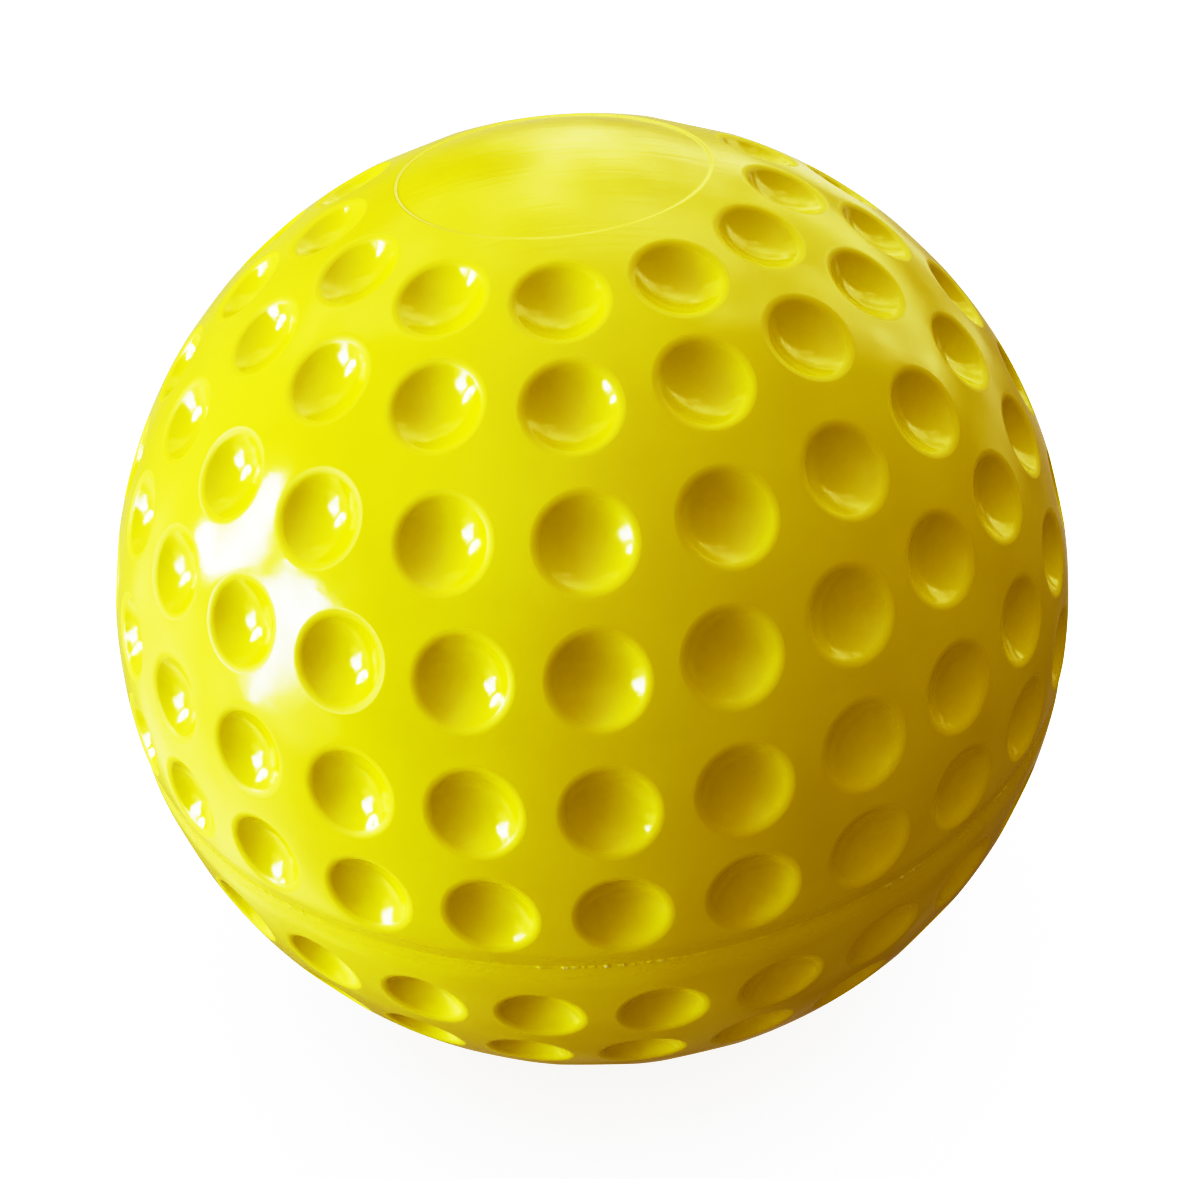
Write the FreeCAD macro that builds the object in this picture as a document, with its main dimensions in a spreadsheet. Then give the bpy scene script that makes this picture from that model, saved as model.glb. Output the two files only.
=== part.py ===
import FreeCAD, Part
import math
import os
import Sketcher
from FreeCAD import Vector

# A dimpled practice ball, in millimetres, +Z up, with its origin at the centre of the ball.
#
# A solid cork-rubber core carries a thin coat of adhesive, and two moulded cups close over it.
# The cups meet at the equator, where a flat ring of adhesive joins them and shows as a fine line.
# Each cup has six rings of round dimples, and a plain pole inside a fine engraved circle.
# The -Y side is the front, which a dimple of each of the upper cup's rings faces, give or take a degree.

# The driving dimensions: name, number, meaning.
SIZES = [
    ("ball_diameter", 72.0, "outside, over the plain surface between the dimples"),
    ("cover_thickness", 6.0, "wall of each cup"),
    ("coat_thickness", 0.2, "adhesive between the core and the cups"),
    ("joint_thickness", 0.24, "adhesive ring between the two cups"),
    ("joint_proud", 0.1, "how far that ring's edge stands out of the trimmed bands"),
    ("band_height", 1.4, "trimmed band on each cup, measured from the equator"),
    ("band_drop", 0.18, "how far the trimmed band falls below the ball's surface at the joint"),
    ("circle_diameter", 20.0, "engraved circle round each pole, across the foot of its groove"),
    ("circle_depth", 0.12, "how far that foot lies below the ball's surface"),
    ("circle_slope", 3.0, "spread of the groove's long shallow side, towards the pole"),
    ("circle_wall", 0.28, "spread of the groove's short steep side, away from the pole"),
    ("dimple_diameter", 5.4, "where the bowl of a dimple would meet the ball with a sharp rim"),
    ("dimple_depth", 1.3, "below the ball's surface"),
    ("lip_radius", 0.8, "rounding between the bowl and the ball's surface"),
    ("ring_angle_a", 24.3, "degrees from the pole to the ring's dimples"),
    ("ring_angle_b", 35.2, "degrees"),
    ("ring_angle_c", 47.4, "degrees"),
    ("ring_angle_d", 59.3, "degrees"),
    ("ring_angle_e", 71.6, "degrees"),
    ("ring_angle_f", 83.0, "degrees"),
    ("ring_turn_a", -0.9, "degrees about the pole from the cup's heading to the ring's first dimple"),
    ("ring_turn_b", -0.35, "degrees"),
    ("ring_turn_c", 0.0, "degrees"),
    ("ring_turn_d", 0.0, "degrees"),
    ("ring_turn_e", 0.0, "degrees"),
    ("ring_turn_f", 0.3, "degrees"),
    ("ring_count_a", 13, "dimples in the ring"),
    ("ring_count_b", 17, "dimples"),
    ("ring_count_c", 21, "dimples"),
    ("ring_count_d", 26, "dimples"),
    ("ring_count_e", 28, "dimples"),
    ("ring_count_f", 29, "dimples"),
    ("lower_ring_shift", 2.0, "degrees by which the lower cup's rings sit nearer their own pole"),
    ("front_heading", -90.25, "degrees about Z from +X to the upper cup's heading"),
    ("lower_clocking", 78.2, "degrees about Z from that to the lower cup's heading"),
]
RING_NAMES = "abcdef"

# Sizes that follow from the driving dimensions, as expressions over the sheet.
BALL_RADIUS = "(Sizes.ball_diameter / 2)"
CUP_INSIDE = f"({BALL_RADIUS} - Sizes.cover_thickness)"
CORE_RADIUS = f"({CUP_INSIDE} - Sizes.coat_thickness)"
JOINT_HALF = "(Sizes.joint_thickness / 2)"
JOINT_EDGE = f"({BALL_RADIUS} - Sizes.band_drop)"
RING_RADIUS = f"({JOINT_EDGE} + Sizes.joint_proud)"
RIM_RADIUS = "(Sizes.dimple_diameter / 2)"
RIM_HEIGHT = f"sqrt({BALL_RADIUS}^2 - {RIM_RADIUS}^2)"
DIMPLE_FLOOR = f"({BALL_RADIUS} - Sizes.dimple_depth)"
BOWL_DEPTH = f"({RIM_HEIGHT} - {DIMPLE_FLOOR})"
BOWL_RADIUS = f"(({RIM_RADIUS}^2 + {BOWL_DEPTH}^2) / (2 * {BOWL_DEPTH}))"
CIRCLE_FOOT = "(Sizes.circle_diameter / 2)"
CIRCLE_START = f"({CIRCLE_FOOT} - Sizes.circle_slope)"
CIRCLE_RIM = f"({CIRCLE_FOOT} + Sizes.circle_wall)"
CIRCLE_FLOOR = f"({BALL_RADIUS} - Sizes.circle_depth)"
TOOL_TOP = f"({BALL_RADIUS} + Sizes.dimple_depth)"

# Sketcher's own numbers for the parts of a sketch.
START, END, CENTRE = 1, 2, 3
ORIGIN = (-1, 1)
UP_AXIS = -2
SKETCH_NORMAL = Vector(0, 0, 1)
QUARTER_TURN = math.pi / 2

NO_MOVE = "create(<<vector>>; 0; 0; 0)"

document = FreeCAD.newDocument("dimpled_ball")


def make_sheet():
    """Fills the spreadsheet, one driving dimension to a row."""
    new_sheet = document.addObject("Spreadsheet::Sheet", "Sizes")
    for row, (name, number, meaning) in enumerate(SIZES, start=1):
        new_sheet.set(f"A{row}", name)
        new_sheet.set(f"B{row}", str(number))
        new_sheet.set(f"C{row}", meaning)
        new_sheet.setAlias(f"B{row}", name)
    document.recompute()
    return new_sheet


def value(expression):
    """What an expression over the sheet works out at."""
    return float(sheet.evalExpression(expression))


def origin_feature(body, role):
    """One of a body's own origin planes or axes."""
    return next(item for item in body.Origin.OriginFeatures if item.Role == role)


def upright_sketch(body, name):
    """A sketch on the body's XZ plane, so that its upward axis is the ball's polar axis."""
    sketch = body.newObject("Sketcher::SketchObject", name)
    sketch.AttachmentSupport = (origin_feature(body, "XZ_Plane"), [""])
    sketch.MapMode = "FlatFace"
    return sketch


def line(sketch, start, end):
    return sketch.addGeometry(Part.LineSegment(start, end))


def arc(sketch, centre, radius, start, end):
    """An arc that runs anticlockwise from start to end, both in radians."""
    circle = Part.Circle(centre, SKETCH_NORMAL, radius)
    return sketch.addGeometry(Part.ArcOfCircle(circle, start, end))


def point_on_circle(radius, across):
    """The upper point of a circle about the origin that lies this far across."""
    return Vector(across, math.sqrt(radius**2 - across**2))


def join(sketch, *corners):
    """Makes pairs of points meet: each corner is (curve, point, curve, point)."""
    for corner in corners:
        sketch.addConstraint(Sketcher.Constraint("Coincident", *corner))


def put_on_up_axis(sketch, *points):
    for curve, point in points:
        sketch.addConstraint(Sketcher.Constraint("PointOnObject", curve, point, UP_AXIS))


def dimension(sketch, name, kind, target, expression):
    """A named dimension that the spreadsheet drives."""
    index = sketch.addConstraint(Sketcher.Constraint(kind, *target, value(expression)))
    sketch.renameConstraint(index, name)
    sketch.setExpression(f"Constraints.{name}", expression)


def turn_about_up_axis(body, kind, sketch, name):
    """A full turn of the section: a PartDesign Revolution adds material, a Groove cuts it."""
    feature = body.newObject(kind, name)
    feature.Profile = sketch
    feature.ReferenceAxis = (sketch, ["V_Axis"])
    feature.Angle = 360
    return feature


def add_wall(body):
    """Half a hollow ball, with the trimmed band sloping inwards just above the joint."""
    sketch = upright_sketch(body, f"{body.Name}_wall_section")
    radius = value(BALL_RADIUS)
    inside = value(CUP_INSIDE)
    foot = Vector(value(JOINT_EDGE), value(JOINT_HALF))
    band_top = Vector(radius, sheet.band_height)
    outer = arc(sketch, Vector(), radius, math.atan2(band_top.y, radius), QUARTER_TURN)
    inner = arc(sketch, Vector(), inside, math.atan2(foot.y, inside), QUARTER_TURN)
    axis = line(sketch, Vector(0, inside), Vector(0, radius))
    joint = line(sketch, Vector(inside, foot.y), foot)
    band = line(sketch, foot, band_top)
    join(
        sketch,
        (outer, CENTRE, *ORIGIN),
        (inner, CENTRE, *ORIGIN),
        (outer, END, axis, END),
        (inner, END, axis, START),
        (inner, START, joint, START),
        (joint, END, band, START),
        (band, END, outer, START),
    )
    put_on_up_axis(sketch, (axis, START), (axis, END))
    sketch.addConstraint(Sketcher.Constraint("Horizontal", joint))
    dimension(sketch, "outside", "Radius", (outer,), BALL_RADIUS)
    dimension(sketch, "inside", "Radius", (inner,), CUP_INSIDE)
    dimension(sketch, "joint_height", "DistanceY", (*ORIGIN, joint, START), JOINT_HALF)
    dimension(sketch, "joint_edge", "DistanceX", (*ORIGIN, joint, END), JOINT_EDGE)
    dimension(sketch, "band_top", "DistanceY", (*ORIGIN, band, END), "Sizes.band_height")
    turn_about_up_axis(body, "PartDesign::Revolution", sketch, f"{body.Name}_wall")


def cut_pole_circle(body):
    """A fine groove round the pole, with a long shallow side towards the pole and a short steep one."""
    sketch = upright_sketch(body, f"{body.Name}_circle_section")
    ball_radius = value(BALL_RADIUS)
    start = point_on_circle(ball_radius, value(CIRCLE_START))
    foot = point_on_circle(value(CIRCLE_FLOOR), value(CIRCLE_FOOT))
    rim = point_on_circle(ball_radius, value(CIRCLE_RIM))
    top = value(TOOL_TOP)
    ball = sketch.addGeometry(Part.Circle(Vector(), SKETCH_NORMAL, ball_radius), True)
    slope = line(sketch, start, foot)
    wall = line(sketch, foot, rim)
    outer_side = line(sketch, rim, Vector(rim.x, top))
    roof = line(sketch, Vector(rim.x, top), Vector(start.x, top))
    inner_side = line(sketch, Vector(start.x, top), start)
    join(
        sketch,
        (ball, CENTRE, *ORIGIN),
        (slope, END, wall, START),
        (wall, END, outer_side, START),
        (outer_side, END, roof, START),
        (roof, END, inner_side, START),
        (inner_side, END, slope, START),
    )
    sketch.addConstraint(Sketcher.Constraint("PointOnObject", slope, START, ball))
    sketch.addConstraint(Sketcher.Constraint("PointOnObject", wall, END, ball))
    sketch.addConstraint(Sketcher.Constraint("Vertical", outer_side))
    sketch.addConstraint(Sketcher.Constraint("Horizontal", roof))
    sketch.addConstraint(Sketcher.Constraint("Vertical", inner_side))
    dimension(sketch, "ball", "Radius", (ball,), BALL_RADIUS)
    dimension(sketch, "start", "DistanceX", (*ORIGIN, slope, START), CIRCLE_START)
    dimension(sketch, "foot", "DistanceX", (*ORIGIN, slope, END), CIRCLE_FOOT)
    dimension(sketch, "floor", "Distance", (*ORIGIN, slope, END), CIRCLE_FLOOR)
    dimension(sketch, "rim", "DistanceX", (*ORIGIN, wall, END), CIRCLE_RIM)
    dimension(sketch, "top", "DistanceY", (*ORIGIN, roof, START), TOOL_TOP)
    turn_about_up_axis(body, "PartDesign::Groove", sketch, f"{body.Name}_circle")


def draw_dimple(sketch):
    """Half the section of a dimple's tool, whose axis is the sketch's upward axis.

    The round bowl turns smoothly into a rounded lip, and the lip runs out on the ball's surface.
    """
    ball_radius = value(BALL_RADIUS)
    bowl_radius = value(BOWL_RADIUS)
    bowl_centre = Vector(0, value(DIMPLE_FLOOR) + bowl_radius)
    lip_radius = sheet.lip_radius
    lip_reach = ball_radius - lip_radius
    # The lip's centre is found from the triangle of ball, bowl and lip centres.
    lean = math.acos(
        (lip_reach**2 + bowl_centre.y**2 - (bowl_radius + lip_radius) ** 2)
        / (2 * lip_reach * bowl_centre.y)
    )
    outwards = Vector(math.sin(lean), math.cos(lean))
    lip_centre = outwards * lip_reach
    run_out = outwards * ball_radius
    meeting = math.atan2(bowl_centre.y - lip_centre.y, -lip_centre.x)
    top = value(TOOL_TOP)

    ball = sketch.addGeometry(Part.Circle(Vector(), SKETCH_NORMAL, ball_radius), True)
    bowl = arc(sketch, bowl_centre, bowl_radius, -QUARTER_TURN, meeting - math.pi)
    lip = arc(sketch, lip_centre, lip_radius, QUARTER_TURN - lean, meeting)
    side = line(sketch, run_out, Vector(run_out.x, top))
    roof = line(sketch, Vector(run_out.x, top), Vector(0, top))
    axis = line(sketch, Vector(0, top), Vector(0, bowl_centre.y - bowl_radius))
    join(
        sketch,
        (ball, CENTRE, *ORIGIN),
        (lip, START, side, START),
        (side, END, roof, START),
        (roof, END, axis, START),
        (axis, END, bowl, START),
    )
    put_on_up_axis(sketch, (bowl, START), (bowl, CENTRE), (axis, START))
    sketch.addConstraint(Sketcher.Constraint("Tangent", bowl, END, lip, END))
    sketch.addConstraint(Sketcher.Constraint("Tangent", lip, START, ball))
    sketch.addConstraint(Sketcher.Constraint("Vertical", side))
    sketch.addConstraint(Sketcher.Constraint("Horizontal", roof))
    dimension(sketch, "ball", "Radius", (ball,), BALL_RADIUS)
    dimension(sketch, "bowl", "Radius", (bowl,), BOWL_RADIUS)
    dimension(sketch, "lip", "Radius", (lip,), "Sizes.lip_radius")
    dimension(sketch, "floor", "DistanceY", (*ORIGIN, bowl, START), DIMPLE_FLOOR)
    dimension(sketch, "top", "DistanceY", (*ORIGIN, roof, START), TOOL_TOP)


def cut_ring(body, ring, shift):
    """Cuts one dimple on an axis that leans away from the pole, then repeats it round the ring."""
    sketch = upright_sketch(body, f"{body.Name}_dimple_section_{ring}")
    turn = f"create(<<rotation>>; 0; Sizes.ring_turn_{ring}; 0)"
    lean = f"create(<<rotation>>; {shift} - Sizes.ring_angle_{ring}; 0; 0)"
    sketch.setExpression("AttachmentOffset", f"create(<<placement>>; {NO_MOVE}; {turn} * {lean})")
    draw_dimple(sketch)
    groove_name = f"{body.Name}_dimple_{ring}"
    dimple = turn_about_up_axis(body, "PartDesign::Groove", sketch, groove_name)
    pattern = body.newObject("PartDesign::PolarPattern", f"{body.Name}_ring_{ring}")
    pattern.Originals = [dimple]
    pattern.Axis = (origin_feature(body, "Z_Axis"), [""])
    pattern.Angle = 360
    pattern.setExpression("Occurrences", f"Sizes.ring_count_{ring}")
    body.Tip = pattern


def make_cup(name, shift, roll, heading):
    """One moulded cup, modelled with its pole up and then turned into its place."""
    body = document.addObject("PartDesign::Body", name)
    body.Label = name
    add_wall(body)
    cut_pole_circle(body)
    for ring in RING_NAMES:
        cut_ring(body, ring, shift)
    turn = f"create(<<rotation>>; {heading}; 0; {roll})"
    body.setExpression("Placement", f"create(<<placement>>; {NO_MOVE}; {turn})")
    return body


def make_ball(name, radius):
    ball = document.addObject("Part::Sphere", name)
    ball.Label = name
    ball.setExpression("Radius", radius)
    return ball


def make_cut(name, base, tool):
    cut = document.addObject("Part::Cut", name)
    cut.Label = name
    cut.Base = base
    cut.Tool = tool
    return cut


def make_adhesive_coat():
    """A thin hollow ball between the core and the cups."""
    outside = make_ball("coat_outside", CUP_INSIDE)
    inside = make_ball("coat_inside", CORE_RADIUS)
    return make_cut("adhesive_coat", outside, inside)


def make_joint_ring():
    """A thin disc between the two cups, opened by the ball of core and coat."""
    disc = document.addObject("Part::Cylinder", "joint_disc")
    disc.setExpression("Radius", RING_RADIUS)
    disc.setExpression("Height", "Sizes.joint_thickness")
    disc.setExpression("Placement.Base.z", f"-{JOINT_HALF}")
    opening = make_ball("joint_opening", CUP_INSIDE)
    return make_cut("joint_ring", disc, opening)


def check_pieces(pieces):
    """Stops if any object failed, or if a piece is not one sound solid."""
    for item in document.Objects:
        if {"Invalid", "Error"} & set(item.State):
            raise RuntimeError(f"{item.Name} failed: {item.State}")
    for piece in pieces:
        shape = piece.Shape
        if shape.isNull() or not shape.isValid() or len(shape.Solids) != 1:
            raise RuntimeError(f"{piece.Label} is not one sound solid")


def check_dimples(cup):
    """Stops unless the cup has one whole bowl for each dimple that the sheet asks for."""
    wanted = sum(int(value(f"Sizes.ring_count_{ring}")) for ring in RING_NAMES)
    spheres = [face.Surface for face in cup.Shape.Faces if isinstance(face.Surface, Part.Sphere)]
    found = sum(math.isclose(sphere.Radius, value(BOWL_RADIUS)) for sphere in spheres)
    if found != wanted:
        raise RuntimeError(f"{cup.Label} has {found} dimples and should have {wanted}")


sheet = make_sheet()
core = make_ball("core", CORE_RADIUS)
adhesive_coat = make_adhesive_coat()
joint_ring = make_joint_ring()
upper_cup = make_cup("upper_cup", "0", "0", "Sizes.front_heading")
lower_heading = "Sizes.front_heading + Sizes.lower_clocking"
lower_cup = make_cup("lower_cup", "Sizes.lower_ring_shift", "180", lower_heading)
document.recompute()

all_pieces = [core, adhesive_coat, joint_ring, upper_cup, lower_cup]
check_pieces(all_pieces)
for cup in (upper_cup, lower_cup):
    check_dimples(cup)

os.makedirs("parts", exist_ok=True)
for piece in all_pieces:
    piece.Shape.exportStep(f"parts/{piece.Label}.step")
    print(f"{piece.Label}: {piece.Shape.Volume:.0f} mm3, {len(piece.Shape.Faces)} faces")
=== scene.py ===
import math

import bpy
import numpy as np
from mathutils import Matrix, Vector


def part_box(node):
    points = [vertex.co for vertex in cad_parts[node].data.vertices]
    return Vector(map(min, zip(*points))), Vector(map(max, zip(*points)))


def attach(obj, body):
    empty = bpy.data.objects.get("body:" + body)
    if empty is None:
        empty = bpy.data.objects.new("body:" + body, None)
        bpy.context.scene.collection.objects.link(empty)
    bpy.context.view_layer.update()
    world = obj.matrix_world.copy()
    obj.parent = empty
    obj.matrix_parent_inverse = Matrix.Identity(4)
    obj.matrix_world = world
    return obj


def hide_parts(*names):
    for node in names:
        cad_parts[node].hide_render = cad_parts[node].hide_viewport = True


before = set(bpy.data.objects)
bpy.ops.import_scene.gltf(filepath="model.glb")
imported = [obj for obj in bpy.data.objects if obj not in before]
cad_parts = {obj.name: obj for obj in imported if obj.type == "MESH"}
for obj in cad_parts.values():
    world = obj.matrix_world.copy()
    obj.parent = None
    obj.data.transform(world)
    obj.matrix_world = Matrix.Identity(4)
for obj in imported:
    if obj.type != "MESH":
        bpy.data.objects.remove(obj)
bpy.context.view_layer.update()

MM = 0.001

# A dimpled practice ball, +Z up, with its origin at its centre and its front at -Y.
#
# Two glossy cups with rings of dimples stand in for the CAD's cups, and a ragged bead for its joint ring. The
# core and the adhesive coat inside them stay as they are and get materials. Lengths are in metres.

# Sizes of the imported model.
BALL_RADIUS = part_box("upper_cup")[1].z
COVER_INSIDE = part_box("adhesive_coat")[1].z
JOINT_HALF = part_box("upper_cup")[0].z

# The dimple: a round bowl whose lip rolls out onto the ball.
DIMPLE_DIAMETER = 5.4 * MM
DIMPLE_DEPTH = 1.3 * MM
LIP_RADIUS = 0.8 * MM

# The rings of dimples on each cup: the angle from the cup's pole, how many, and the turn of the first one.
# These angles, the lower rings' shift and the two cups' headings are in degrees.
RINGS = (
    (24.3, 13, -0.9),
    (35.2, 17, -0.35),
    (47.4, 21, 0.0),
    (59.3, 26, 0.0),
    (71.6, 28, 0.0),
    (83.0, 29, 0.3),
)
LOWER_RING_SHIFT = 2.0
FRONT_HEADING = -90.25
LOWER_CLOCKING = 78.2

# The engraved circle round each pole: across its foot, its depth, and the spread of its two sides.
CIRCLE_DIAMETER = 20.0 * MM
CIRCLE_DEPTH = 0.12 * MM
CIRCLE_SLOPE = 3.0 * MM
CIRCLE_WALL = 0.3 * MM

# The trimmed band beside the joint.
BAND_HEIGHT = 1.4 * MM
BAND_DROP = 0.18 * MM

# The unevenness of the moulded surface: how many waves, their range of pitch in waves round the ball, and
# the size that sets their height.
WAVE_COUNT = 14
WAVE_PITCHES = (10, 34)
WAVE_HEIGHT = 0.03 * MM

# Mesh steps. A pole row is its share of the way to the circle and its count of points, and a circle row is a
# share of the wall's width, measured from its foot.
POLE_ROWS = (
    (0.04, 12), (0.1, 24), (0.2, 48), (0.35, 96), (0.5, 96), (0.65, 192), (0.8, 192), (0.92, 192),
)
CIRCLE_ROWS = (-1.2, -0.5, -0.1, 0.1, 0.3, 0.5, 0.7, 0.9, 1.1, 1.6)
CIRCLE_POINTS = 360

# Steps of one dimple: along a side of its cell, out over its bowl, and over its lip. The margin keeps the
# cell's border clear of the lip.
SIDE_STEPS = 10
BOWL_STEPS = (0.2, 0.4, 0.6, 0.78, 0.92, 1.0)
LIP_STEPS = (0.15, 0.3, 0.45, 0.6, 0.75, 0.9, 1.0)
CELL_MARGIN = math.radians(0.12)

# Rows of the band, as shares of the way to the joint; rows of the joint's face, as shares of the way in with
# their counts; and the inside's rows.
SEAM_POINTS = 1440
FIRST_BAND_ROW = 0.1
BAND_ROWS = (0.22, 0.4, 0.6, 0.78, 0.9, 1.0)
INSIDE_POINTS = 96
FACE_ROWS = (
    (0.03, SEAM_POINTS), (0.1, SEAM_POINTS // 4), (0.4, INSIDE_POINTS), (1.0, INSIDE_POINTS),
)
INSIDE_STEP = 6
SHARP_EDGE = math.radians(50)


# ---------------------------------------------------------------- the ball's surface

class DimpleShape:
    """The bowl and lip of one dimple, as a radius for each angle from its axis.

    The bowl and the lip are arcs about their own centres, and both centres are found from the triangle that
    they make with the ball's centre.
    """

    def __init__(self):
        half = DIMPLE_DIAMETER / 2
        sag = math.sqrt(BALL_RADIUS**2 - half**2) - BALL_RADIUS + DIMPLE_DEPTH
        self.bowl_radius = (half**2 + sag**2) / (2 * sag)
        self.bowl_centre = BALL_RADIUS - DIMPLE_DEPTH + self.bowl_radius
        self.lip_centre = BALL_RADIUS - LIP_RADIUS
        reach = self.bowl_radius + LIP_RADIUS
        lean = self.lip_centre**2 + self.bowl_centre**2 - reach**2
        self.lip_end = math.acos(lean / (2 * self.bowl_centre * self.lip_centre))
        share = self.bowl_radius / reach
        across = self.lip_centre * math.sin(self.lip_end) * share
        along = self.lip_centre * math.cos(self.lip_end) * share + self.bowl_centre * (1 - share)
        self.bowl_end = math.atan2(across, along)

    def radius(self, angle):
        """The surface's distance from the ball's centre, at this angle from the dimple's axis."""
        bowl_reach = self.bowl_radius**2 - (self.bowl_centre * np.sin(angle)) ** 2
        bowl = self.bowl_centre * np.cos(angle) - np.sqrt(np.maximum(bowl_reach, 0))
        lean = self.lip_end - angle
        lip_reach = LIP_RADIUS**2 - (self.lip_centre * np.sin(lean)) ** 2
        lip = self.lip_centre * np.cos(lean) + np.sqrt(np.maximum(lip_reach, 0))
        inside = np.where(angle <= self.bowl_end, bowl, lip)
        return np.where(angle >= self.lip_end, BALL_RADIUS, inside)


DIMPLE = DimpleShape()


def circle_groove(polar):
    """How deep the engraved circle is: a long shallow slope on the pole's side, then a short steep wall."""
    foot = math.asin(CIRCLE_DIAMETER / 2 / BALL_RADIUS)
    off = (polar - foot) * BALL_RADIUS
    slope = np.clip(1 + off / CIRCLE_SLOPE, 0, 1)
    up_wall = np.clip(off / CIRCLE_WALL, 0, 1)
    wall = 1 - up_wall**2 * (3 - 2 * up_wall)
    return CIRCLE_DEPTH * np.where(off < 0, slope, wall)


def land_radius(polar):
    """The cover's outer radius between the dimples, at an angle from the cup's pole."""
    edge_radius = BALL_RADIUS - BAND_DROP
    band_radius = math.sqrt(BALL_RADIUS**2 - BAND_HEIGHT**2)
    slope = (band_radius - edge_radius) / (BAND_HEIGHT - JOINT_HALF)
    band = (edge_radius - JOINT_HALF * slope) / (np.sin(polar) - slope * np.cos(polar))
    in_band = np.cos(polar) * BALL_RADIUS < BAND_HEIGHT
    return np.where(in_band, np.minimum(band, BALL_RADIUS), BALL_RADIUS) - circle_groove(polar)


def mould_waves(directions, seed):
    """A few microns of unevenness over the moulded cover."""
    rng = np.random.default_rng(seed)
    height = np.zeros(len(directions))
    for _ in range(WAVE_COUNT):
        wave = rng.normal(size=3)
        wave *= rng.uniform(*WAVE_PITCHES) / np.linalg.norm(wave)
        height += np.sin(directions @ wave + rng.uniform(0, 2 * math.pi)) / np.linalg.norm(wave)
    return height * WAVE_HEIGHT


def directions_at(polar, azimuth):
    """Unit vectors at an angle from the pole and an azimuth."""
    polar, azimuth = np.broadcast_arrays(polar, azimuth)
    flat = np.sin(polar)
    return np.stack([flat * np.cos(azimuth), flat * np.sin(azimuth), np.cos(polar)], axis=-1)


# ---------------------------------------------------------------- closed meshes

class Shell:
    """One closed piece, laid down row by row from its outer pole to its inner pole.

    Each point also carries its share of a dimple's lip, which the material reads.
    """

    def __init__(self, seed):
        self.seed = seed
        self.count = 0
        self.points = []
        self.lip_shares = []
        self.faces = []
        self.row = None
        self.row_azimuths = None

    def add(self, points, lip_share=0.0):
        """Adds points and returns their numbers."""
        points = np.atleast_2d(points)
        self.points.append(points)
        self.lip_shares.append(np.full(len(points), lip_share))
        self.count += len(points)
        return np.arange(self.count - len(points), self.count)

    def add_outside(self, directions, radius, lip_share=0.0):
        """Adds points of the outer surface, with its unevenness."""
        waves = mould_waves(directions, self.seed)
        return self.add(directions * (radius + waves)[:, None], lip_share)

    def join(self, row, azimuths):
        """Joins a row to the one before it."""
        if self.row is None:
            self.fan(0, row, False)
        elif len(row) == len(self.row) and np.allclose(azimuths, self.row_azimuths):
            self.quads(self.row, row, True)
        else:
            self.zip_rows(row, azimuths)
        self.row = row
        self.row_azimuths = azimuths

    def quads(self, first, second, closed):
        """Quads between two rows of as many points."""
        if closed:
            first = np.append(first, first[0])
            second = np.append(second, second[0])
        cells = np.stack([first[:-1], second[:-1], second[1:], first[1:]], axis=1)
        self.faces.extend(cells.tolist())

    def fan(self, tip, row, tip_is_last):
        """Triangles from one point to a closed row."""
        after = np.roll(row, -1)
        tips = np.full(len(row), tip)
        order = (row, tips, after) if tip_is_last else (tips, row, after)
        self.faces.extend(np.stack(order, axis=1).tolist())

    def zip_rows(self, row, azimuths):
        """Triangles between the last row and one with another number of points."""
        upper = np.append(self.row, self.row[0])
        upper_at = np.append(self.row_azimuths, self.row_azimuths[0] + 2 * math.pi)
        gap = (azimuths - upper_at[0] + math.pi) % (2 * math.pi) - math.pi
        start = int(np.argmin(np.abs(gap)))
        lower = np.append(np.roll(row, -start), row[start])
        turned = (np.roll(azimuths, -start) - azimuths[start]) % (2 * math.pi)
        lower_at = upper_at[0] + gap[start] + np.append(turned, 2 * math.pi)
        i = 0
        j = 0
        while i < len(upper) - 1 or j < len(lower) - 1:
            lower_done = j == len(lower) - 1
            if lower_done or (i < len(upper) - 1 and upper_at[i + 1] <= lower_at[j + 1]):
                self.faces.append([int(upper[i]), int(lower[j]), int(upper[i + 1])])
                i += 1
            else:
                self.faces.append([int(upper[i]), int(lower[j]), int(lower[j + 1])])
                j += 1

    def outside_row(self, polar, count):
        """A row of the outer surface, at an angle from the pole."""
        azimuths = np.arange(count) * 2 * math.pi / count
        directions = directions_at(polar, azimuths)
        row = self.add_outside(directions, np.full(count, float(land_radius(polar))))
        self.join(row, azimuths)

    def plain_row(self, radius, height, count):
        """A row of the joint face or the inside, with no waves."""
        azimuths = np.arange(count) * 2 * math.pi / count
        around = [radius * np.cos(azimuths), radius * np.sin(azimuths), np.full(count, height)]
        self.join(self.add(np.stack(around, axis=1)), azimuths)

    def finish(self, name, turn):
        """Makes the piece and turns it into its place."""
        mesh = bpy.data.meshes.new(name)
        points = np.concatenate(self.points)
        mesh.from_pydata(points.tolist(), [], self.faces)
        lip = mesh.attributes.new("lip", "FLOAT", "POINT")
        lip.data.foreach_set("value", np.concatenate(self.lip_shares))
        mesh.transform(turn)
        return shown_piece(name, mesh)


def shown_piece(name, mesh):
    """A smoothly shaded object of the scene."""
    mesh.validate()
    mesh.polygons.foreach_set("use_smooth", [True] * len(mesh.polygons))
    mesh.set_sharp_from_angle(angle=SHARP_EDGE)
    piece = bpy.data.objects.new(name, mesh)
    bpy.context.scene.collection.objects.link(piece)
    return piece


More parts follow.
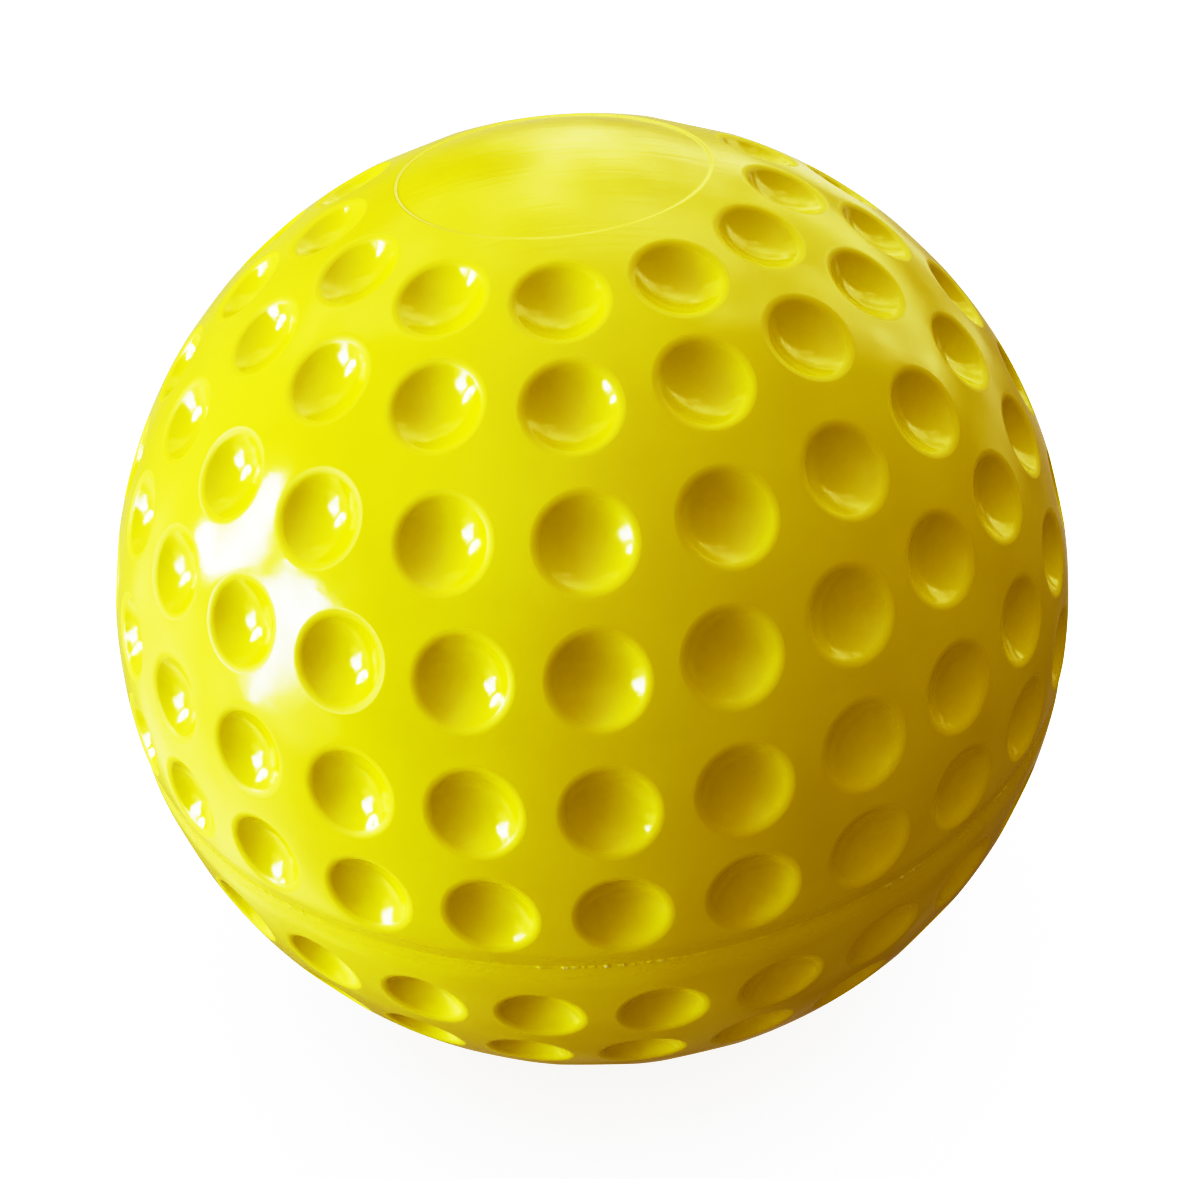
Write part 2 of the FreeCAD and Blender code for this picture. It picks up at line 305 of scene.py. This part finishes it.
def add_dimple_ring(shell, polar, count, turn, top, bottom):
    """One ring of dimples. Round loops run from each dimple's centre to its four-sided cell."""
    spread = np.tan(np.linspace(-math.pi / 4, math.pi / 4, SIDE_STEPS + 1))
    half = math.pi / count
    centres = turn + np.arange(count) * 2 * half
    azimuths = (centres[:, None] + half * spread[None, :-1]).ravel()
    rows = []
    for edge in (top, bottom):
        directions = directions_at(edge, azimuths)
        radius = np.full(len(azimuths), float(land_radius(edge)))
        rows.append((shell.add_outside(directions, radius), directions))
    shell.join(rows[0][0], azimuths)
    side_polars = (top + bottom) / 2 + (bottom - top) / 2 * spread[1:-1]
    sides = []
    for centre in centres:
        directions = directions_at(side_polars, centre - half)
        sides.append((shell.add_outside(directions, land_radius(side_polars)), directions))
    for k, centre in enumerate(centres):
        picks = (k * SIDE_STEPS + np.arange(SIDE_STEPS + 1)) % len(azimuths)
        left = sides[k]
        right = sides[(k + 1) % count]
        border, border_directions = (
            np.concatenate([rows[0][i][picks], right[i], rows[1][i][picks[::-1]], left[i][::-1]])
            for i in range(2)
        )
        fill_dimple_cell(shell, polar, centre, border, border_directions)
    shell.row = rows[1][0]
    shell.row_azimuths = azimuths


def fill_dimple_cell(shell, polar, azimuth, border, border_directions):
    """One dimple: loops from its centre over the bowl and the lip, and two more out to the cell's border."""
    axis = directions_at(polar, azimuth)
    across = np.array([-math.sin(azimuth), math.cos(azimuth), 0.0])
    down = np.cross(across, axis)
    corner = -3 * math.pi / 4
    turns = corner + np.arange(len(border)) * 2 * math.pi / len(border)
    sideways = np.cos(turns)[:, None] * across + np.sin(turns)[:, None] * down
    bowl = [(DIMPLE.bowl_end * step, 0.0) for step in BOWL_STEPS]
    lip_width = DIMPLE.lip_end - DIMPLE.bowl_end
    lip = [(DIMPLE.bowl_end + lip_width * step, math.sin(math.pi * step)) for step in LIP_STEPS]
    centre_radius = np.array([BALL_RADIUS - DIMPLE_DEPTH])
    centre = shell.add_outside(axis[None, :], centre_radius)[0]
    last = None
    for angle, lip_share in bowl + lip:
        directions = math.cos(angle) * axis + math.sin(angle) * sideways
        land = land_radius(np.arccos(directions[:, 2]))
        loop = shell.add_outside(directions, np.minimum(DIMPLE.radius(angle), land), lip_share)
        if last is None:
            shell.fan(centre, loop[::-1], False)
        else:
            shell.quads(loop, last, True)
        last = loop
    blend = directions + border_directions
    blend /= np.linalg.norm(blend, axis=1)[:, None]
    loop = shell.add_outside(blend, land_radius(np.arccos(blend[:, 2])))
    shell.quads(loop, last, True)
    shell.quads(border, loop, True)


def make_cup(name, ring_shift, turn, seed):
    """A cup of the cover: its pole circle, its rings of dimples, the band, the joint face and the inside."""
    shell = Shell(seed)
    shell.add_outside(np.array([[0.0, 0.0, 1.0]]), np.array([BALL_RADIUS]))
    rings = [
        (math.radians(angle - ring_shift), count, math.radians(first)) for angle, count, first in RINGS
    ]
    add_pole_rows(shell, rings[0][0] - DIMPLE.lip_end - CELL_MARGIN)
    for k, (polar, count, first) in enumerate(rings):
        top = polar - DIMPLE.lip_end - CELL_MARGIN
        bottom = polar + DIMPLE.lip_end + CELL_MARGIN
        if k > 0:
            top = (rings[k - 1][0] + polar) / 2 + CELL_MARGIN / 2
        if k < len(rings) - 1:
            bottom = (polar + rings[k + 1][0]) / 2 - CELL_MARGIN / 2
        add_dimple_ring(shell, polar, count, first, top, bottom)
    add_seam_rows(shell, bottom)
    add_inside_rows(shell)
    return shell.finish(name, turn)


def add_pole_rows(shell, last_polar):
    """Rows from the pole past the engraved circle; the counts grow with the distance from the pole."""
    foot = math.asin(CIRCLE_DIAMETER / 2 / BALL_RADIUS)
    circle_polars = [foot + share * CIRCLE_WALL / BALL_RADIUS for share in CIRCLE_ROWS]
    for share, count in POLE_ROWS:
        shell.outside_row(circle_polars[0] * share, count)
    for polar in circle_polars:
        shell.outside_row(polar, CIRCLE_POINTS)
    shell.outside_row((circle_polars[-1] + last_polar) / 2, CIRCLE_POINTS)


def add_seam_rows(shell, first_polar):
    """Fine rows down the trimmed band to the joint."""
    edge_polar = math.pi / 2 - math.asin(JOINT_HALF / (BALL_RADIUS - BAND_DROP))
    shell.outside_row(first_polar + (edge_polar - first_polar) * FIRST_BAND_ROW, SEAM_POINTS // 2)
    for share in BAND_ROWS:
        shell.outside_row(first_polar + (edge_polar - first_polar) * share, SEAM_POINTS)


def add_inside_rows(shell):
    """The joint's face, and the round inside up to the pole."""
    face_edge = BALL_RADIUS - BAND_DROP
    for share, count in FACE_ROWS:
        radius = face_edge + (math.sqrt(COVER_INSIDE**2 - JOINT_HALF**2) - face_edge) * share
        shell.plain_row(radius, JOINT_HALF, count)
    for angle in np.radians(np.arange(INSIDE_STEP, 90, INSIDE_STEP)):
        shell.plain_row(COVER_INSIDE * math.cos(angle), COVER_INSIDE * math.sin(angle), INSIDE_POINTS)
    tip = shell.add(np.array([0.0, 0.0, COVER_INSIDE]))[0]
    shell.fan(tip, shell.row, True)


# ---------------------------------------------------------------- the joint's bead

# Where adhesive has squeezed out: the middle and half the width of each patch, in degrees, and its strength.
FLASH_PATCHES = (
    (-91, 5, 1.0),
    (-97, 2, 0.7),
    (-60, 4, 0.8),
    (-45, 5, 0.6),
    (-128, 9, 0.35),
    (70, 12, 0.8),
    (150, 8, 0.7),
)
BEAD_SEED = 11
BEAD_POINTS = SEAM_POINTS * 2
COARSE_WAVES = 300
FINE_WAVES = 900

# How far the bead stands out of the bands and spreads over them, at its plainest and in a full patch.
PLAIN_PROUD = 0.01 * MM
PATCH_PROUD = 0.13 * MM
PLAIN_SWELL = 0.01 * MM
PATCH_SWELL = 0.10 * MM
NECK_DEPTH = 0.02 * MM


def ring_noise(rng, count, waves):
    """Smooth noise round a ring, between about -1 and 1, with no step where it closes."""
    spectrum = np.zeros(count // 2 + 1, complex)
    phases = rng.uniform(0, 2 * math.pi, waves)
    spectrum[1:waves + 1] = np.exp(1j * phases) * rng.uniform(0.3, 1.0, waves)
    noise = np.fft.irfft(spectrum, count)
    return noise / np.abs(noise).max()


def make_joint_bead(name):
    """The squeezed-out line at the joint: a thin ring whose outer edge is ragged in patches."""
    rng = np.random.default_rng(BEAD_SEED)
    count = BEAD_POINTS
    azimuths = np.arange(count) * 2 * math.pi / count
    ragged = np.zeros(count)
    for middle, half_width, strength in FLASH_PATCHES:
        off = (azimuths - math.radians(middle) + math.pi) % (2 * math.pi) - math.pi
        ragged = np.maximum(ragged, strength * np.exp(-((off / math.radians(half_width)) ** 2)))
    coarse = ring_noise(rng, count, COARSE_WAVES)
    fine = ring_noise(rng, count, FINE_WAVES)
    lumps = ragged * np.clip(coarse * 1.3 + fine * 0.7, 0, 1) ** 0.7
    proud = PLAIN_PROUD * (1 + fine) + PATCH_PROUD * lumps
    swell = JOINT_HALF + PLAIN_SWELL * coarse + PATCH_SWELL * lumps
    root = np.full(count, math.sqrt(COVER_INSIDE**2 - JOINT_HALF**2))
    stem = np.full(count, BALL_RADIUS - BAND_DROP - NECK_DEPTH)
    flat = np.full(count, JOINT_HALF)
    tip = BALL_RADIUS - BAND_DROP + proud
    # The section runs from the root out over the rounded tip and back, as pairs of radius and height.
    section = [
        (root, flat),
        (stem, flat),
        (tip - proud * 0.7, swell),
        (tip - proud * 0.2, swell * 0.7),
        (tip, swell * 0.1),
        (tip - proud * 0.2, -swell * 0.7),
        (tip - proud * 0.7, -swell),
        (stem, -flat),
        (root, -flat),
    ]
    points = []
    for radius, height in section:
        points.append(np.stack([radius * np.cos(azimuths), radius * np.sin(azimuths), height], axis=1))
    faces = []
    for k in range(len(section)):
        upper = k * count + np.append(np.arange(count), 0)
        lower = (k + 1) % len(section) * count + np.append(np.arange(count), 0)
        faces.extend(np.stack([upper[:-1], lower[:-1], lower[1:], upper[1:]], axis=1).tolist())
    mesh = bpy.data.meshes.new(name)
    mesh.from_pydata(np.concatenate(points).tolist(), [], faces)
    return shown_piece(name, mesh)


# ---------------------------------------------------------------- materials

class Nodes:
    """A short way to write a node tree.

    An input's value may be a number, a colour, a vector or another node's output.
    """

    def __init__(self, tree):
        self.tree = tree
        tree.nodes.clear()

    def add(self, kind, inputs=None, **settings):
        """A new node with its settings, and its inputs set or linked by their names or numbers."""
        node = self.tree.nodes.new(kind)
        for key, value in settings.items():
            setattr(node, key, value)
        for key, value in (inputs or {}).items():
            if isinstance(value, bpy.types.NodeSocket):
                self.tree.links.new(value, node.inputs[key])
            else:
                node.inputs[key].default_value = value
        return node

    def math(self, operation, first, second=0.0):
        return self.add("ShaderNodeMath", {0: first, 1: second}, operation=operation).outputs[0]

    def vector(self, operation, first, second=(0, 0, 0)):
        return self.add("ShaderNodeVectorMath", {0: first, 1: second}, operation=operation)

    def place(self):
        """The point's place on the object, in metres."""
        return self.add("ShaderNodeTexCoord").outputs["Object"]

    def stretched(self, place, scale, rotation=(0.0, 0.0, 0.0)):
        """The place turned and scaled, so that what is drawn there comes out drawn out in one direction."""
        inputs = {"Vector": place, "Rotation": rotation, "Scale": scale}
        return self.add("ShaderNodeMapping", inputs).outputs[0]

    def noise(self, place, wavelength, detail=2.0, roughness=0.5):
        """Cloudy noise about 0.5, with patches of about this size."""
        inputs = {"Vector": place, "Scale": 1 / wavelength, "Detail": detail, "Roughness": roughness}
        return self.add("ShaderNodeTexNoise", inputs).outputs["Fac"]

    def bump(self, height, distance, before=None, strength=1.0):
        """Raises the surface by height times distance, on top of the bump before it."""
        inputs = {"Height": height, "Strength": strength, "Distance": distance}
        if before is not None:
            inputs["Normal"] = before
        return self.add("ShaderNodeBump", inputs).outputs[0]

    def between(self, value, low, high, out_low=0.0, out_high=1.0):
        """Maps value from low..high to out_low..out_high, smoothly and clamped."""
        inputs = {
            "Value": value,
            "From Min": low,
            "From Max": high,
            "To Min": out_low,
            "To Max": out_high,
        }
        return self.add("ShaderNodeMapRange", inputs, interpolation_type="SMOOTHSTEP").outputs[0]

    def mix(self, factor, first, second):
        """A blend of two colours. The node's inputs 6 and 7 and its output 2 are the ones for colours."""
        node = self.add("ShaderNodeMix", {"Factor": factor}, data_type="RGBA")
        for socket, value in ((node.inputs[6], first), (node.inputs[7], second)):
            if isinstance(value, bpy.types.NodeSocket):
                self.tree.links.new(value, socket)
            else:
                socket.default_value = (*value, 1.0)
        return node.outputs[2]

    def finish(self, shader):
        self.add("ShaderNodeOutputMaterial", {"Surface": shader.outputs[0]})

    def finish_skin(self, colour, roughness, normal, **more):
        """Ends a solid material; more names the shader's other inputs."""
        inputs = {"Base Color": colour, "Roughness": roughness, "Normal": normal, **more}
        self.finish(self.add("ShaderNodeBsdfPrincipled", inputs))


def new_material(name):
    """An empty material and the writer of its nodes."""
    material = bpy.data.materials.new(name)
    material.use_nodes = True
    return material, Nodes(material.node_tree)


PLASTIC_IOR = 1.52
SPECK_PITCH = 3.2 * MM


def cover_colour(nodes, place):
    """Two close yellows in faint clouds, with rare dark specks."""
    cloud = nodes.noise(place, 9 * MM, 3.0)
    yellow = nodes.mix(nodes.between(cloud, 0.3, 0.7), (0.83, 0.81, 0.0), (0.78, 0.75, 0.0))
    cell = nodes.add("ShaderNodeTexVoronoi", {"Vector": place, "Scale": 1 / SPECK_PITCH})
    rarity = nodes.add("ShaderNodeSeparateXYZ", {0: cell.outputs["Color"]}).outputs["X"]
    speck = nodes.between(cell.outputs["Distance"], 0.045, 0.03)
    speck = nodes.math("MULTIPLY", speck, nodes.math("GREATER_THAN", rarity, 0.93))
    return nodes.mix(nodes.math("MULTIPLY", speck, 0.55), yellow, (0.16, 0.10, 0.01))


def cover_material():
    """Glossy moulded polyurethane, duller on the dimples' lips and beside the joint, with fine bumps."""
    material, nodes = new_material("yellow_cover")
    place = nodes.place()
    height = nodes.add("ShaderNodeSeparateXYZ", {0: place}).outputs["Z"]
    from_joint = nodes.math("ABSOLUTE", height)
    near_joint = nodes.between(from_joint, 1.7 * MM, 0.7 * MM)
    near_pole = nodes.between(from_joint, 33.0 * MM, 35 * MM)
    on_lip = nodes.add("ShaderNodeAttribute", attribute_name="lip").outputs["Fac"]

    smear = nodes.noise(place, 4 * MM, 4.0, 0.6)
    roughness = nodes.between(smear, 0.35, 0.75, 0.12, 0.2)
    roughness = nodes.math("ADD", roughness, nodes.math("MULTIPLY", near_joint, 0.14))
    roughness = nodes.math("ADD", roughness, nodes.math("MULTIPLY", on_lip, 0.4))

    # A fine orange peel all over, streaks over the poles and brush marks along the joint.
    peel = nodes.noise(place, 1.6 * MM, 4.0, 0.6)
    streak_place = nodes.stretched(place, (1.0, 14.0, 1.0), (0.0, 0.0, math.radians(-5)))
    streaks = nodes.noise(streak_place, 7 * MM, 3.0, 0.6)
    brushed = nodes.noise(nodes.stretched(place, (1.0, 1.0, 22.0)), 2.2 * MM, 4.0, 0.7)
    bump = nodes.bump(peel, 0.012 * MM)
    bump = nodes.bump(nodes.math("MULTIPLY", streaks, near_pole), 0.03 * MM, bump)
    bump = nodes.bump(nodes.math("MULTIPLY", brushed, near_joint), 0.03 * MM, bump)

    gloss = {"IOR": PLASTIC_IOR, "Specular IOR Level": 0.8}
    nodes.finish_skin(cover_colour(nodes, place), roughness, bump, **gloss)
    return material


def bead_material():
    """The joint's adhesive: the cover's yellow, and paler where it has squeezed out."""
    material, nodes = new_material("joint_bead")
    place = nodes.place()
    reach = nodes.add("ShaderNodeVectorMath", {0: place}, operation="LENGTH").outputs["Value"]
    edge = BALL_RADIUS - BAND_DROP
    squeezed = nodes.between(reach, edge + 0.02 * MM, edge + 0.08 * MM)
    cloud = nodes.noise(place, 0.7 * MM, 3.0)
    yellow = nodes.mix(nodes.between(cloud, 0.3, 0.7), (0.85, 0.83, 0.01), (0.78, 0.75, 0.0))
    colour = nodes.mix(squeezed, yellow, (0.95, 0.94, 0.45))
    roughness = nodes.between(cloud, 0.3, 0.7, 0.25, 0.4)
    nodes.finish_skin(colour, roughness, nodes.bump(cloud, 0.02 * MM), IOR=PLASTIC_IOR)
    return material


def cork_material():
    """Bound cork and rubber crumb."""
    material, nodes = new_material("cork_rubber")
    place = nodes.place()
    grain = nodes.add("ShaderNodeTexVoronoi", {"Vector": place, "Scale": 1 / (1.6 * MM)})
    pick = nodes.add("ShaderNodeSeparateXYZ", {0: grain.outputs["Color"]}).outputs["X"]
    colour = nodes.mix(pick, (0.30, 0.15, 0.06), (0.52, 0.31, 0.15))
    rubber = nodes.math("GREATER_THAN", pick, 0.82)
    colour = nodes.mix(rubber, colour, (0.035, 0.030, 0.028))
    gap = nodes.between(grain.outputs["Distance"], 0.35, 0.75)
    colour = nodes.mix(nodes.math("MULTIPLY", gap, 0.5), colour, (0.16, 0.08, 0.03))
    roughness = nodes.between(nodes.noise(place, 0.8 * MM), 0.3, 0.7, 0.7, 0.95)
    nodes.finish_skin(colour, roughness, nodes.bump(gap, -0.12 * MM, strength=0.8))
    return material


def adhesive_material():
    """A thin coat of amber glue."""
    material, nodes = new_material("adhesive")
    smear = nodes.noise(nodes.place(), 3 * MM, 4.0, 0.6)
    colour = nodes.mix(nodes.between(smear, 0.3, 0.7), (0.50, 0.31, 0.08), (0.66, 0.47, 0.17))
    roughness = nodes.between(smear, 0.3, 0.7, 0.28, 0.5)
    nodes.finish_skin(colour, roughness, nodes.bump(smear, 0.08 * MM, strength=0.6))
    return material


# ---------------------------------------------------------------- stage

CAMERA_ELEVATION = math.radians(38.6)
CAMERA_ROLL = math.radians(5.35)
CAMERA_DISTANCE = 2.993 * BALL_RADIUS
CAMERA_LENS = 40.34
VIEW_SHIFT = (0.0065, -0.0002)
# The window's two panes: each one's corners as headings from the ball, its strength and its colour.
PANES = {
    "window_left_pane": (
        ((-105, 4), (-103, 14), (-95, 30), (-85, 21.5), (-90, 10), (-98, 3)),
        17, (1.0, 1.02, 1.3)),
    "window_right_pane": (
        ((-84.5, 9.5), (-79.5, 23.5), (-64, 20.5), (-59.5, 13.5), (-67, 2), (-78, -7)),
        16, (0.88, 1.0, 1.4)),
}
PANE_DISTANCE = 1.2
# How wide the patches of light and dark are in what shows through the glass, in metres.
OUTDOOR_PATCH = 0.11

# The room's even light, and how wide the blotches on its walls are, as a share of the distance to them.
ROOM_LIGHT = 0.2
ROOM_BLOTCH = 0.22
# The room's brighter areas, each a soft-edged rectangle of headings: azimuth, half its width, elevation,
# half its height, the softness of its edge, all in degrees, and its light.
ROOM_AREAS = (
    (148, 36, 35, 27, 5, 1.3),
    (138, 26, -5, 6, 3, 0.55),
    (-151, 29, 46, 16, 5, 0.9),
    (-98, 27, -26, 23, 6, 0.8),
    (-68, 10, -4, 6, 2.5, 1.5),
    (117, 2.5, 18, 7, 2, 1.6),
)
# Broad glows with no edge: azimuth, elevation, how tightly each gathers, and its light.
ROOM_GLOWS = (
    (0, 85, 6, 0.45),
    (0, 45, 8, 0.4),
    (-60, 45, 8, 0.5),
    (-120, 20, 8, 0.6),
    (-90, -25, 6, 0.85),
    (-20, -30, 4, 0.2),
    (180, 70, 8, 0.6),
    (180, -20, 6, 0.5),
)
# The plain white behind the ball, half the floor's side, and how far the ball's contact shadow reaches.
BACKDROP = 2.2
FLOOR_REACH = 3.0
SHADOW_REACH = 0.05

# How bright a light of each step turns out in red, green and blue. TONE_WHITE is the most the curves cover.
TONE_WHITE = 2.0
TONE_STEPS = (0.1, 0.25, 0.5, 0.75, 1.0, 1.4)
TONES = (
    (0.10, 0.26, 0.55, 0.77, 0.89, 0.96),
    (0.035, 0.135, 0.42, 0.73, 0.88, 0.955),
    (0.01, 0.09, 0.36, 0.66, 0.84, 0.95),
)


def heading(azimuth, elevation):
    """A unit vector; azimuth 0 points at the viewer's side (-Y) and grows to the right, both in degrees."""
    turn = math.radians(azimuth)
    rise = math.radians(elevation)
    return Vector((math.sin(turn) * math.cos(rise), -math.cos(turn) * math.cos(rise), math.sin(rise)))


def make_camera():
    data = bpy.data.cameras.new("camera")
    data.lens = CAMERA_LENS
    data.shift_x, data.shift_y = VIEW_SHIFT
    data.clip_start = 0.005
    camera = bpy.data.objects.new("camera", data)
    back = heading(0, math.degrees(CAMERA_ELEVATION))
    right = Vector((1, 0, 0))
    up = back.cross(right)
    image_right = right * math.cos(CAMERA_ROLL) - up * math.sin(CAMERA_ROLL)
    image_up = right * math.sin(CAMERA_ROLL) + up * math.cos(CAMERA_ROLL)
    turn = Matrix((image_right, image_up, back)).transposed().to_4x4()
    camera.matrix_world = Matrix.Translation(back * CAMERA_DISTANCE) @ turn
    bpy.context.scene.collection.objects.link(camera)
    bpy.context.scene.camera = camera


def make_pane(name, corners, strength, colour):
    """A bright window pane: a flat outline of headings, seen in reflections but not by the camera."""
    points = [heading(*corner) * PANE_DISTANCE for corner in corners]
    mesh = bpy.data.meshes.new(name)
    mesh.from_pydata(points, [], [list(range(len(points)))])
    pane = bpy.data.objects.new(name, mesh)
    material, nodes = new_material(name)
    # What shows through the glass is uneven, so the glare is too.
    outdoors = nodes.noise(nodes.place(), OUTDOOR_PATCH, 3.0)
    light = nodes.math("MULTIPLY", nodes.between(outdoors, 0.35, 0.62, 0.25, 1.2), strength)
    nodes.finish(nodes.add("ShaderNodeEmission", {"Color": (*colour, 1), "Strength": light}))
    mesh.materials.append(material)
    bpy.context.scene.collection.objects.link(pane)
    pane.visible_camera = False


def add_areas(nodes, direction, light):
    """Adds the room's brighter areas to the light that comes from a direction."""
    flat = nodes.vector("NORMALIZE", nodes.vector("MULTIPLY", direction, (1, 1, 0)).outputs[0])
    rise = nodes.math("ARCSINE", nodes.add("ShaderNodeSeparateXYZ", {0: direction}).outputs["Z"])
    for azimuth, half_width, elevation, half_height, softness, strength in ROOM_AREAS:
        toward = nodes.vector("DOT_PRODUCT", flat.outputs[0], heading(azimuth, 0)).outputs["Value"]
        off_side = nodes.math("ARCCOSINE", toward)
        off_level = nodes.math("ABSOLUTE", nodes.math("SUBTRACT", rise, math.radians(elevation)))
        area = strength
        for off, half in ((off_side, half_width), (off_level, half_height)):
            inside = nodes.between(off, math.radians(half + softness), math.radians(half - softness))
            area = nodes.math("MULTIPLY", inside, area)
        light = nodes.math("ADD", light, area)
    return light


def add_glows(nodes, direction, light):
    """Adds the room's broad glows to the light that comes from a direction."""
    for azimuth, elevation, power, strength in ROOM_GLOWS:
        toward = nodes.vector("DOT_PRODUCT", direction, heading(azimuth, elevation)).outputs["Value"]
        glow = nodes.math("POWER", nodes.math("MAXIMUM", toward, 0.0), power)
        light = nodes.math("ADD", light, nodes.math("MULTIPLY", glow, strength))
    return light


def make_room():
    """A dim room that lights the ball and shows as pale sheens on it; the camera sees plain white instead."""
    world = bpy.data.worlds.new("room")
    bpy.context.scene.world = world
    world.use_nodes = True
    nodes = Nodes(world.node_tree)
    direction = nodes.add("ShaderNodeTexCoord").outputs["Generated"]
    light = add_areas(nodes, direction, ROOM_LIGHT)
    # The room's walls are not one even tone, so their sheens are patchy.
    blotches = nodes.noise(direction, ROOM_BLOTCH, 3.0)
    light = nodes.math("MULTIPLY", light, nodes.between(blotches, 0.4, 0.6, 0.6, 1.3))
    light = add_glows(nodes, direction, light)
    room = nodes.add("ShaderNodeCombineXYZ", {0: light, 1: light, 2: light}).outputs[0]
    is_camera = nodes.add("ShaderNodeLightPath").outputs["Is Camera Ray"]
    seen = nodes.mix(is_camera, room, (BACKDROP, BACKDROP, BACKDROP))
    background = nodes.add("ShaderNodeBackground", {"Color": seen})
    nodes.add("ShaderNodeOutputWorld", {"Surface": background.outputs[0]})


def make_floor():
    """A pale floor that fades into the white backdrop, with a soft shadow where the ball stands."""
    mesh = bpy.data.meshes.new("floor")
    level = -BALL_RADIUS
    corners = [(x * FLOOR_REACH, y * FLOOR_REACH, level) for x, y in ((-1, -1), (1, -1), (1, 1), (-1, 1))]
    mesh.from_pydata(corners, [], [(0, 1, 2, 3)])
    floor = bpy.data.objects.new("floor", mesh)
    bpy.context.scene.collection.objects.link(floor)
    material, nodes = new_material("floor")
    shade = nodes.add("ShaderNodeAmbientOcclusion", {"Distance": SHADOW_REACH}, samples=8).outputs["AO"]
    light = nodes.between(shade, 0.2, 0.9, 1.0, BACKDROP)
    nodes.finish(nodes.add("ShaderNodeEmission", {"Strength": light}))
    mesh.materials.append(material)
    # The room's light already counts what the table sends up, so only the camera sees this floor.
    floor.visible_diffuse = False
    floor.visible_glossy = False
    floor.visible_transmission = False
    floor.visible_shadow = False


def set_tone():
    """The picture's tone: a saturated yellow that turns warm in the shadows and rolls off in the lights."""
    settings = bpy.context.scene.view_settings
    settings.view_transform = "Standard"
    settings.use_curve_mapping = True
    mapping = settings.curve_mapping
    mapping.white_level = (TONE_WHITE, TONE_WHITE, TONE_WHITE)
    for curve, heights in zip(mapping.curves, TONES):
        for light, height in zip(TONE_STEPS, heights):
            curve.points.new(light / TONE_WHITE, height)
    mapping.update()


# ---------------------------------------------------------------- build

UPPER_SEED = 3
LOWER_SEED = 4


def put_in_model(piece, node, material):
    """Gives a piece its material and lets it stand in for the CAD piece called node."""
    piece.data.materials.append(material)
    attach(piece, "root")
    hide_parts(node)


yellow = cover_material()

upper_turn = Matrix.Rotation(math.radians(FRONT_HEADING), 4, "Z")
lower_heading = math.radians(FRONT_HEADING + LOWER_CLOCKING)
lower_turn = Matrix.Rotation(lower_heading, 4, "Z") @ Matrix.Rotation(math.pi, 4, "X")
upper = make_cup("upper_cup_cover", 0.0, upper_turn, UPPER_SEED)
lower = make_cup("lower_cup_cover", LOWER_RING_SHIFT, lower_turn, LOWER_SEED)
bead = make_joint_bead("joint_bead")
put_in_model(upper, "upper_cup", yellow)
put_in_model(lower, "lower_cup", yellow)
put_in_model(bead, "joint_ring", bead_material())

for node, material in (("core", cork_material()), ("adhesive_coat", adhesive_material())):
    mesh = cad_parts[node].data
    mesh.materials.clear()
    mesh.materials.append(material)

make_camera()
for name, (corners, strength, colour) in PANES.items():
    make_pane(name, corners, strength, colour)
make_room()
make_floor()
set_tone()
